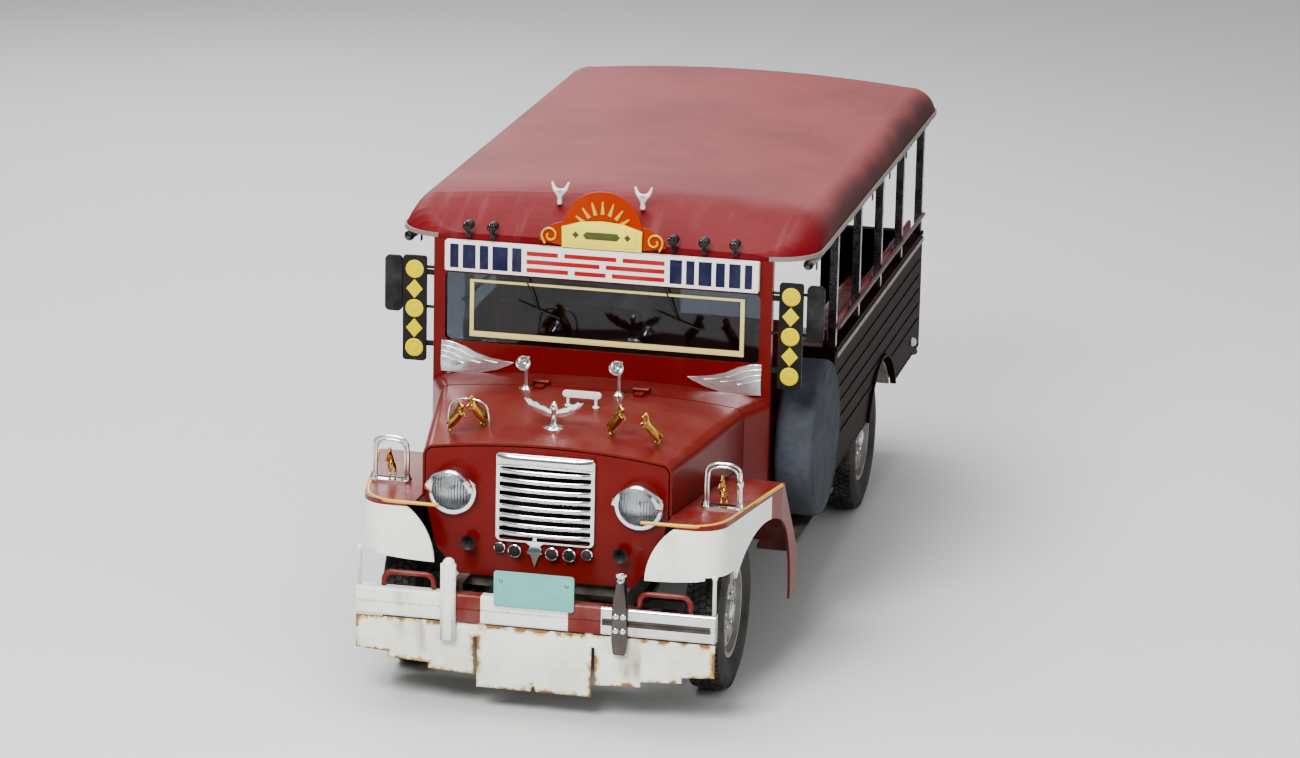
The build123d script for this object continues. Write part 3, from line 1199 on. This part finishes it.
def seat_bases():
    z0 = CAB_FLOOR_TOP + SEAT
    stations = (CAB_SEAT_S[0] + 25, CAB_SEAT_S[1])
    return [block((x0 + 20, x1 - 20), stations, (z0, CAB_SEAT_Z[0])) for x0, x1 in CAB_SEATS]


def cab_seats():
    made = []
    for x0, x1 in CAB_SEATS:
        cushion = block((x0, x1), CAB_SEAT_S, (CAB_SEAT_Z[0] + SEAT, CAB_SEAT_Z[1]))
        made.append(fillet(cushion.edges().filter_by(Axis.X), 24))
        back_s = (BULKHEAD_S - CAB_BACK_T, BULKHEAD_S - SEAT)
        back = block((x0, x1), back_s, (CAB_SEAT_Z[1] + SEAT, CAB_BACK_TOP))
        made.append(fillet(back.edges().filter_by(Axis.X), 20))
    return made


def body_side():
    """Outer skin on the driver's side with its window sill, pressed ribs and rear corner."""
    x0, x1 = BODY_HALF - BODY_T, BODY_HALF
    s0 = BULKHEAD_S + SHEET_T + SEAT
    skin = block((x0, x1), (s0, BODY_END), (SKIN_BOTTOM, SILL_Z))
    rear = block((DOOR_HALF, x1), (BODY_END - BODY_T, BODY_END), (RAIL_TOP + SEAT, SILL_Z))
    made = skin + rear
    sill = block((POST_X, x1 + 6), (s0, BODY_END), (SILL_Z - 14, SILL_Z))
    rear_sill = block((DOOR_HALF, x1), (BODY_END - 48, BODY_END + 6), (SILL_Z - 14, SILL_Z))
    ribs = [
        block((x1 - 2, x1 + 5), (s0 + 60, BODY_END - 60), (z - 9, z + 9))
        for z in RIB_HEIGHTS
    ]
    rear_ribs = [
        block((DOOR_HALF + 50, x1 - 60), (BODY_END - 2, BODY_END + 5), (z - 9, z + 9))
        for z in (*RIB_HEIGHTS[:2], RIB_HEIGHTS[-1])
    ]
    made = fused([made, sill, rear_sill, *ribs, *rear_ribs])
    lip = rod((x1 - 4, AXLE_REAR, TYRE_R), (x1 + 14, AXLE_REAR, TYRE_R), BODY_ARCH_R + 16)
    lip &= block((0, ROOF_HALF), (0, LENGTH), (SKIN_BOTTOM, SILL_Z))
    made += lip
    return made - rod((x0 - 10, AXLE_REAR, TYRE_R), (x1 + 30, AXLE_REAR, TYRE_R), BODY_ARCH_R)


def bulkhead():
    """Sheet behind the cab seats, out to the wider body, with an open upper half."""
    sheet = block((-BODY_HALF, BODY_HALF), (BULKHEAD_S, BULKHEAD_S + SHEET_T), (CAB_FLOOR_Z, SILL_Z))
    rail = block((-POST_X, POST_X), (BULKHEAD_S, BULKHEAD_S + SHEET_T + 8), (SILL_Z - 30, SILL_Z))
    return sheet + rail


def cab_sides():
    """Low side panel beside the driver, and the doorway's sill on the other side."""
    s0, s1 = SCREEN_S1 + SEAT, BULKHEAD_S - SEAT
    x0, x1 = CAB_IN + SEAT, CAB_HALF
    driver = block((x0, x1), (s0, s1), (SKIN_BOTTOM, LEFT_SIDE_TOP))
    roll = rod((x0 + 7, s0, LEFT_SIDE_TOP), (x0 + 7, s1, LEFT_SIDE_TOP), 14)
    carrier = rod((x1 - 2, SPARE_S, SPARE_Z), (SPARE_X + HUB_IN - SEAT, SPARE_S, SPARE_Z), HUB_NOSE_R)
    sill = block((-x1, -x0), (s0, s1), (SKIN_BOTTOM, RIGHT_SILL_TOP))
    return [fused([driver, roll, carrier]), sill]


def spare_cover():
    """Cloth cup over the spare wheel's outer side and tread."""
    inner_r = TYRE_R + SEAT
    face_x = SPARE_X + TYRE_W / 2 + SEAT + COVER_T
    cup = rod((face_x - COVER_DEPTH, SPARE_S, SPARE_Z), (face_x, SPARE_S, SPARE_Z), inner_r + COVER_T)
    cup = fillet(cup.edges().sort_by(Axis.X)[-1:], COVER_T)
    inside = rod((face_x - COVER_DEPTH - 5, SPARE_S, SPARE_Z), (face_x - COVER_T, SPARE_S, SPARE_Z), inner_r)
    return cup - inside


def cab_controls():
    """Gear lever in its boot on the cab floor, and three pedals on the firewall."""
    floor_z = CAB_FLOOR_TOP + SEAT
    top = (LEVER_X, LEVER_S + LEVER_LEAN, floor_z + LEVER_H)
    lever = rod((LEVER_X, LEVER_S, floor_z + 5), top, LEVER_R) + Pos(*top) * Sphere(KNOB_R)
    foot = (LEVER_X, LEVER_S, floor_z)
    boot = turned(foot, (0, 0, 1), [(BOOT_R, 0), (BOOT_R, 6), (BOOT_R - 12, 14), (14, BOOT_H)])
    made = [lever + boot]
    wall_s = FIREWALL_S + SHEET_T + SEAT
    low, high = PEDAL_Z
    for x in PEDAL_X:
        bracket = block((x - 14, x + 14), (wall_s, wall_s + 20), (high - 20, high + 20))
        arm = rod((x, wall_s + 12, high), (x, wall_s + PEDAL_REACH, low), PEDAL_ARM_R)
        pad = Pos(x, wall_s + PEDAL_REACH, low) * Rot(-35, 0, 0) * Box(2 * PEDAL_HALF, 14, 62)
        made.append(fused([bracket, arm, fillet(pad.edges().filter_by(Axis.X), 5)]))
    return made


def side_posts():
    """Window posts on both sides and the two posts of the rear doorway."""
    made = []
    z0, z1 = SILL_Z + SEAT, RIM_Z - SEAT
    for s in POST_STATIONS:
        made += both_sides(block((POST_X, POST_X + POST_W), (s - POST_W / 2, s + POST_W / 2), (z0, z1)))
    door = block((DOOR_HALF, DOOR_HALF + POST_W), (BODY_END - 44, BODY_END - 6), (z0, z1))
    return made + both_sides(door)


def side_trim():
    """Bright rails: along the roof's edge, outside the windows and along the belt."""
    outer = roof_plan(-DRIP_W - SEAT)
    inner = roof_plan(-SEAT)
    ring = plan_prism(outer, RIM_Z + 2, RIM_Z + 2 + DRIP_H) - plan_prism(inner, RIM_Z, RIM_Z + 2 * DRIP_H)
    half_ring = ring & block((ROOF_HALF - ROOF_CORNER + 10, ROOF_HALF + 50), (0, LENGTH), (RIM_Z, RIM_Z + 100))
    x = POST_X + POST_W + WINDOW_RAIL_R + SEAT
    window = rod((x, POST_STATIONS[0], WINDOW_RAIL_Z), (x, POST_STATIONS[-1], WINDOW_RAIL_Z), WINDOW_RAIL_R)
    belt = block((BODY_HALF + SEAT, BODY_HALF + 9), (BULKHEAD_S + 30, BODY_END - 10), BELT_Z)
    return both_sides(half_ring) + both_sides(window) + both_sides(belt)


# Roof

def roof_plan(inset):
    s0, s1 = ROOF_S
    width = 2 * (ROOF_HALF - inset)
    return Pos(0, (s0 + s1) / 2) * RectangleRounded(width, s1 - s0 - 2 * inset, ROOF_CORNER - inset)


def roof_drop(run, length, height):
    """How far the roof has fallen at a distance in from its front or rear edge."""
    share = max(0.0, 1 - run / length)
    return height * share**1.6


def roof_section(half, top, inset):
    """Front view of the roof at one station: upright rim, round shoulders, crown."""
    edge = ROOF_EDGE_Z - inset * 0.3
    rise = max(top - edge, 3.0)
    crown = min(ROOF_CROWN, 0.3 * rise)
    side_z = edge + rise - crown
    run = ROOF_SHOULDER - inset * 0.5
    bend = (half - 0.29 * run, edge + 0.71 * (side_z - edge))
    return make_face([
        Line((half, RIM_Z), (half, edge)),
        ThreePointArc((half, edge), bend, (half - run, side_z)),
        ThreePointArc((half - run, side_z), (0, edge + rise), (run - half, side_z)),
        ThreePointArc((run - half, side_z), (-bend[0], bend[1]), (-half, edge)),
        Line((-half, edge), (-half, RIM_Z)),
        Line((-half, RIM_Z), (half, RIM_Z)),
    ])


def roof_form(inset):
    """Crowned roof with rounded plan corners, a falling brow and a softer tail."""
    s0, s1 = ROOF_S
    corner = ROOF_CORNER - inset
    turns = [math.radians(angle) for angle in (0, 15, 30, 45, 60, 75, 90)]
    ins = [(corner * (1 - math.cos(turn)), corner * (1 - math.sin(turn))) for turn in turns]
    stations = [(s0 + inset + run, back) for run, back in ins]
    stations += [(s0 + run, 0.0) for run in (260.0, 310.0, 370.0, 600.0)]
    stations += [(s1 - run, 0.0) for run in (400.0, 280.0)]
    stations += [(s1 - inset - run, back) for run, back in reversed(ins)]
    faces = []
    for s, back in stations:
        fall = roof_drop(s - s0 - inset, BROW_RUN, BROW_DROP) + roof_drop(s1 - inset - s, TAIL_RUN, TAIL_DROP)
        faces.append((s, roof_section(ROOF_HALF - inset - back, ROOF_TOP - inset - fall, inset)))
    return section_loft(faces)


def roof():
    """Roof skin, its flat rim and the bows that stiffen it."""
    outer = roof_form(0)
    inner = roof_form(ROOF_T)
    shell = outer - inner
    rim = plan_prism(roof_plan(0), RIM_Z, RIM_Z + RIM_T)
    inside = ROOF_HALF - RIM_W
    rim -= block((-inside, inside), (ROOF_S[0] + 180, ROOF_S[1] - 150), (RIM_Z - 5, RIM_Z + RIM_T + 5))
    core = roof_form(ROOF_T + BOW_T)
    band = (inner - core)
    bow_z = (RIM_Z + RIM_T, ROOF_TOP)
    bow_x = (-ROOF_HALF, ROOF_HALF)
    bows = [band & block(bow_x, (s - BOW_W / 2, s + BOW_W / 2), bow_z) for s in BOW_STATIONS]
    return fused([shell, rim, *bows])


def roof_crest():
    """Arched crest with side wings that stands on the brow."""
    s1 = ROOF_S[0] - SEAT
    z0 = CREST_Z
    plaque = Pos(0, z0 + 62) * RectangleRounded(384, 124, 30)
    arch = make_face([
        ThreePointArc((-190, z0 + 90), (0, CREST_TOP), (190, z0 + 90)),
        Line((190, z0 + 90), (-190, z0 + 90)),
    ])
    wing = make_face([
        Line((150, z0), (300, z0 + 26)),
        ThreePointArc((300, z0 + 26), (262, z0 + 84), (150, z0 + 116)),
        Line((150, z0 + 116), (150, z0)),
    ])
    face = plaque + arch + wing + mirror(wing, about=Plane.YZ)
    raised = front_prism(plaque, s1 - CREST_T - PLAQUE_RELIEF, s1 - CREST_T + 1)
    return front_prism(face, s1 - CREST_T, s1) + raised


def brow_lamps():
    """Small lamps standing on the brow, unevenly spread as in the photograph."""
    skin = roof_form(-SEAT)
    made = []
    for x in (-633.0, -517.0, 335.0, 479.0, 623.0):
        s, z = ROOF_S[0], LAMP_STALK_Z
        lamp = rod((x, s - 45, z), (x, s + 12, z), 22)
        stem = rod((x, s - 14, z - 50), (x, s - 14, z), 6)
        foot = block((x - 12, x + 12), (s - 20, s + 6), (z - 56, z - 42))
        made.append(fused([lamp, stem, foot]) - skin)
    return made


def rear_step():
    """Tread across the doorway, its hangers, the corner bars and the tow plate."""
    z0, z1 = STEP_Z
    tread = block((-STEP_HALF, STEP_HALF), STEP_S, STEP_Z)
    tread = fillet(tread.edges().filter_by(Axis.Z), 30)
    hanger_s = (RAIL_END - 150, RAIL_END)
    hangers = [
        block((RAIL_X, RAIL_X + HANGER_T), hanger_s, (z0 + 8, RAIL_Z - SEAT)),
        block((RAIL_X, RAIL_OUT), hanger_s, (RAIL_Z - 10, RAIL_Z - SEAT)),
        block((RAIL_X, RAIL_X + HANGER_T), (RAIL_END - 60, STEP_S[1] - 60), (z0 + 8, z1 + 6)),
    ]
    bar_s, bar_z, bar_x = RAIL_END + 30, RAIL_Z + 30, BODY_HALF - 40
    bar = rod((RAIL_OUT + 10, bar_s, bar_z), (bar_x, bar_s, bar_z), CORNER_BAR_R)
    bar += Pos(bar_x, bar_s, bar_z) * Sphere(CORNER_BAR_R)
    link = block((RAIL_OUT + SEAT, RAIL_OUT + 20), (RAIL_END - 70, bar_s + 10), (bar_z - 20, bar_z + 20))
    tow = block((-60, 60), (STEP_S[1] - 20, LENGTH), (z0 + 2, z1 - 2))
    tow = fillet(tow.edges().filter_by(Axis.Z).sort_by(Axis.Y)[-2:], 40)
    tow -= rod((0, TOW_S, z0 - 50), (0, TOW_S, z1 + 50), TOW_HOLE_R)
    step = fused([tread, tow, *both_sides(fused(hangers))])
    return [step, *both_sides(bar + link)]


def tail_lamps():
    made = []
    face_s = BODY_END + 5 + SEAT
    for x in (-TAIL_LAMP_X, TAIL_LAMP_X):
        for z in (RIB_HEIGHTS[2], RIB_HEIGHTS[3]):
            pad = rod((x, BODY_END + SEAT, z), (x, face_s + 24, z), TAIL_LAMP_R)
            made.append(fillet(pad.edges().sort_by(Axis.Y)[-1:], 8))
    return made


def side_step():
    """Tread under the cab's side with two outriggers to the frame."""
    x0, x1 = CAB_HALF - 40, BODY_HALF + 10
    low, high = SIDE_STEP_Z
    tread = block((x0, x1), (FENDER_TAIL_S + 4, BULKHEAD_S + 10), SIDE_STEP_Z)
    tread = fillet(tread.edges().filter_by(Axis.Y).sort_by(Axis.X)[-2:], 8)
    places = (FENDER_TAIL_S + 160, BULKHEAD_S - 190)
    arms = [block((RAIL_OUT + SEAT, x0 + 20), (s - 20, s + 20), (low + 2, high - 2)) for s in places]
    return fused([tread, *arms])


def roof_height(x, inset):
    """Height of the crowned middle of the roof at X, away from the brow and the tail."""
    reach = ROOF_HALF - inset - (ROOF_SHOULDER - inset * 0.5)
    radius = (reach**2 + ROOF_CROWN**2) / (2 * ROOF_CROWN)
    return ROOF_TOP - inset - radius + math.sqrt(radius**2 - x**2)


def handrails():
    """Two ceiling rails hung from the bows, and a grab tube at each side of the doorway."""
    made = []
    low = RIM_Z - HANDRAIL_DROP
    high = roof_height(HANDRAIL_X + HANDRAIL_STAY_R, ROOF_T + BOW_T) - SEAT
    first, last = BOW_STATIONS[1], BOW_STATIONS[-1]
    for side in (-1, 1):
        x = side * HANDRAIL_X
        rail = rod((x, first - 20, low), (x, last + 20, low), HANDRAIL_R)
        stays = [rod((x, s, low), (x, s, high), HANDRAIL_STAY_R) for s in BOW_STATIONS[1:]]
        made.append(fused([rail, *stays]))
        near, far, s = side * (DOOR_HALF - SEAT), side * (DOOR_HALF - 40), BODY_END - 24
        foot, head = SILL_Z + 70, RIM_Z - 130
        path = FilletPolyline((near, s, foot), (far, s, foot), (far, s, head), (near, s, head), radius=30)
        section = Plane(origin=path @ 0, z_dir=path % 0) * Circle(GRAB_R)
        made.append(sweep(section, path=path))
    return made


def side_curtains():
    """Rolled weather curtains tied up under the roof's edge."""
    z = RIM_Z - SEAT - CURTAIN_R
    x = POST_X + POST_W + SEAT + CURTAIN_R
    made = []
    for s0, s1 in ((SCREEN_S0 + 85, BULKHEAD_S - 15), (BULKHEAD_S + 40, BODY_END - 45)):
        made += both_sides(rod((x, s0, z), (x, s1, z), CURTAIN_R))
    return made


NODES = {
    "chassis_frame": chassis_frame,
    "front_axle": lambda: [front_axle()],
    "rear_axle": lambda: [rear_axle()],
    "engine": lambda: [engine()],
    "propeller_shaft": lambda: [propeller_shaft()],
    "exhaust": lambda: [exhaust()],
    "fuel_tank": lambda: [fuel_tank()],
    "radiator": lambda: [radiator()],
    "front_panel": lambda: [front_panel()],
    "grille": lambda: [grille()],
    "headlamps": headlamps,
    "headlamp_lenses": headlamp_lenses,
    "front_fenders": lambda: both_sides(front_fender()),
    "fender_arches": fender_arches,
    "front_bumper": lambda: [front_bumper()],
    "bumper_guards": bumper_guards,
    "front_skirt": lambda: [front_skirt()],
    "cowl": lambda: [cowl()],
    "windshield_frame": lambda: [windshield_frame()],
    "windshield_glass": lambda: [windshield_glass()],
    "floor": lambda: floor() + both_sides(wheel_housing()),
    "cab_panels": lambda: [bulkhead(), *cab_sides()],
    "body_sides": lambda: both_sides(body_side()),
    "seat_boxes": lambda: both_sides(bench_box()) + seat_bases(),
    "bench_cushions": lambda: both_sides(bench_cushion()) + both_sides(bench_back()),
    "cab_seats": cab_seats,
    "cab_controls": cab_controls,
    "spare_cover": lambda: [spare_cover()],
    "side_posts": side_posts,
    "side_trim": side_trim,
    "roof": lambda: [roof()],
    "roof_crest": lambda: [roof_crest()],
    "brow_lamps": brow_lamps,
    "sign_boards": sign_boards,
    "mirrors": mirrors,
    "handrails": handrails,
    "side_curtains": side_curtains,
    "steps": lambda: rear_step() + both_sides(side_step()),
    "tail_lamps": tail_lamps,
    "steering_column": lambda: [steering_column()],
    "steering_wheel": lambda: [steering_wheel()],
    "tie_rod": lambda: [tie_rod()],
    "knuckle_left": lambda: [knuckle()],
    "knuckle_right": lambda: [mirror(knuckle(), about=Plane.YZ)],
    "hood": lambda: [hood()],
    "hood_ornaments": hood_ornaments,
}

# Wheels: (name, X of the wheel's middle, station, height above the axles)
WHEELS = (
    ("front_left", FRONT_TRACK_HALF, AXLE_FRONT, 0.0),
    ("front_right", -FRONT_TRACK_HALF, AXLE_FRONT, 0.0),
    ("rear_left", REAR_TRACK_HALF, AXLE_REAR, 0.0),
    ("rear_right", -REAR_TRACK_HALF, AXLE_REAR, 0.0),
    ("spare", SPARE_X, SPARE_S, SPARE_Z - TYRE_R),
)


def write(name, shapes):
    centred = [Pos(0, -LENGTH / 2, 0) * shape for shape in shapes]
    solids = [solid for shape in centred for solid in shape.solids()]
    export_step(Compound(solids), f"parts/{name}.step")


os.makedirs("parts", exist_ok=True)
for name, make in NODES.items():
    write(name, make())
one_tyre, one_rim = tyre(), rim()
for name, x, station, lift in WHEELS:
    for kind, shape in (("tyre", one_tyre), ("rim", one_rim)):
        write(f"{name}_{kind}", [Pos(0, 0, lift) * placed_wheel(shape, x, station)])
